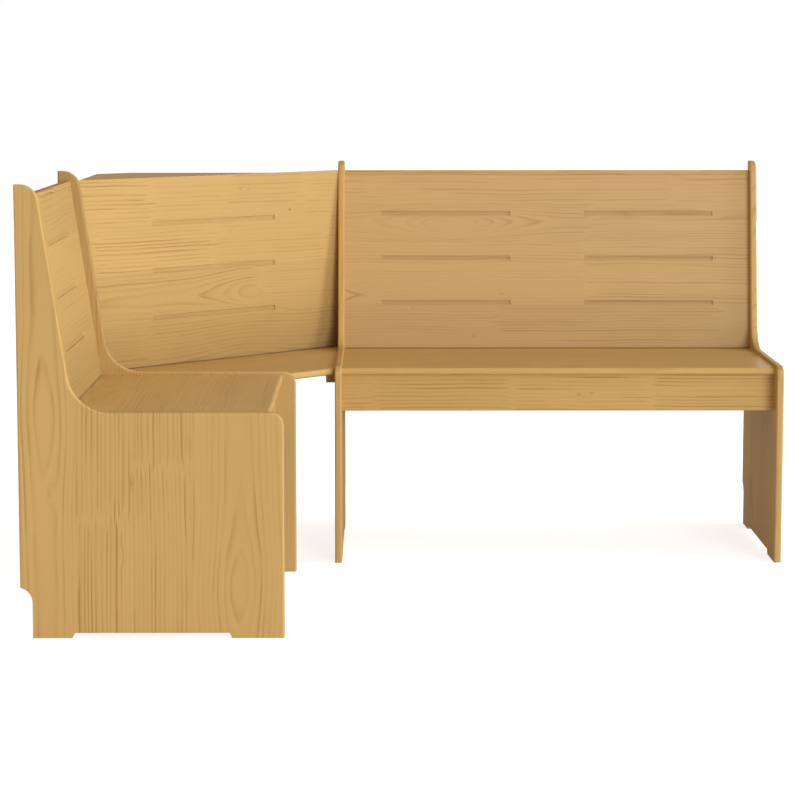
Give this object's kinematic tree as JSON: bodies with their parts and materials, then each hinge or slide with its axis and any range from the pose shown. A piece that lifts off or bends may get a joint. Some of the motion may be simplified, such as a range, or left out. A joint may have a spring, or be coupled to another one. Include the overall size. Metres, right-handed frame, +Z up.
{
  "type": "corner bench",
  "caption": "Corner bench of lacquered pine boards: a long and a short bench with leaning backs, joined by a diagonal corner seat with a small shelf behind it.",
  "frame": {"origin": "on the floor, at the centre of the plan box", "axes": "+Z up; +X along the long bench, away from the corner; +Y towards the wall behind the long bench"},
  "size_m": [1.54, 1.21, 0.85],
  "materials": {
    "lacquered_pine": "honey stained, satin lacquer",
    "pine_batten": "planed, thin lacquer",
    "beech_dowel": "fluted, unfinished",
    "zinc_screw": "zinc plated"
  },
  "bodies": {
    "root": {"corner_backrest": "lacquered_pine", "corner_left_batten": "pine_batten", "corner_left_seat_cleat": "pine_batten", "corner_right_batten": "pine_batten", "corner_right_seat_cleat": "pine_batten", "corner_screws": "zinc_screw", "corner_seat": "lacquered_pine", "corner_shelf": "lacquered_pine", "corner_shelf_cleat": "pine_batten", "long_bench_apron": "lacquered_pine", "long_bench_back_cap": "lacquered_pine", "long_bench_backrest": "lacquered_pine", "long_bench_dowels": "beech_dowel", "long_bench_left_back_cleat": "pine_batten", "long_bench_left_panel": "lacquered_pine", "long_bench_left_seat_cleat": "pine_batten", "long_bench_rear_rail": "pine_batten", "long_bench_right_back_cleat": "pine_batten", "long_bench_right_panel": "lacquered_pine", "long_bench_right_seat_cleat": "pine_batten", "long_bench_screws": "zinc_screw", "long_bench_seat": "lacquered_pine", "short_bench_apron": "lacquered_pine", "short_bench_back_cap": "lacquered_pine", "short_bench_backrest": "lacquered_pine", "short_bench_dowels": "beech_dowel", "short_bench_front_back_cleat": "pine_batten", "short_bench_front_panel": "lacquered_pine", "short_bench_front_seat_cleat": "pine_batten", "short_bench_rear_back_cleat": "pine_batten", "short_bench_rear_panel": "lacquered_pine", "short_bench_rear_rail": "pine_batten", "short_bench_rear_seat_cleat": "pine_batten", "short_bench_screws": "zinc_screw", "short_bench_seat": "lacquered_pine"}
  },
  "joints": []
}
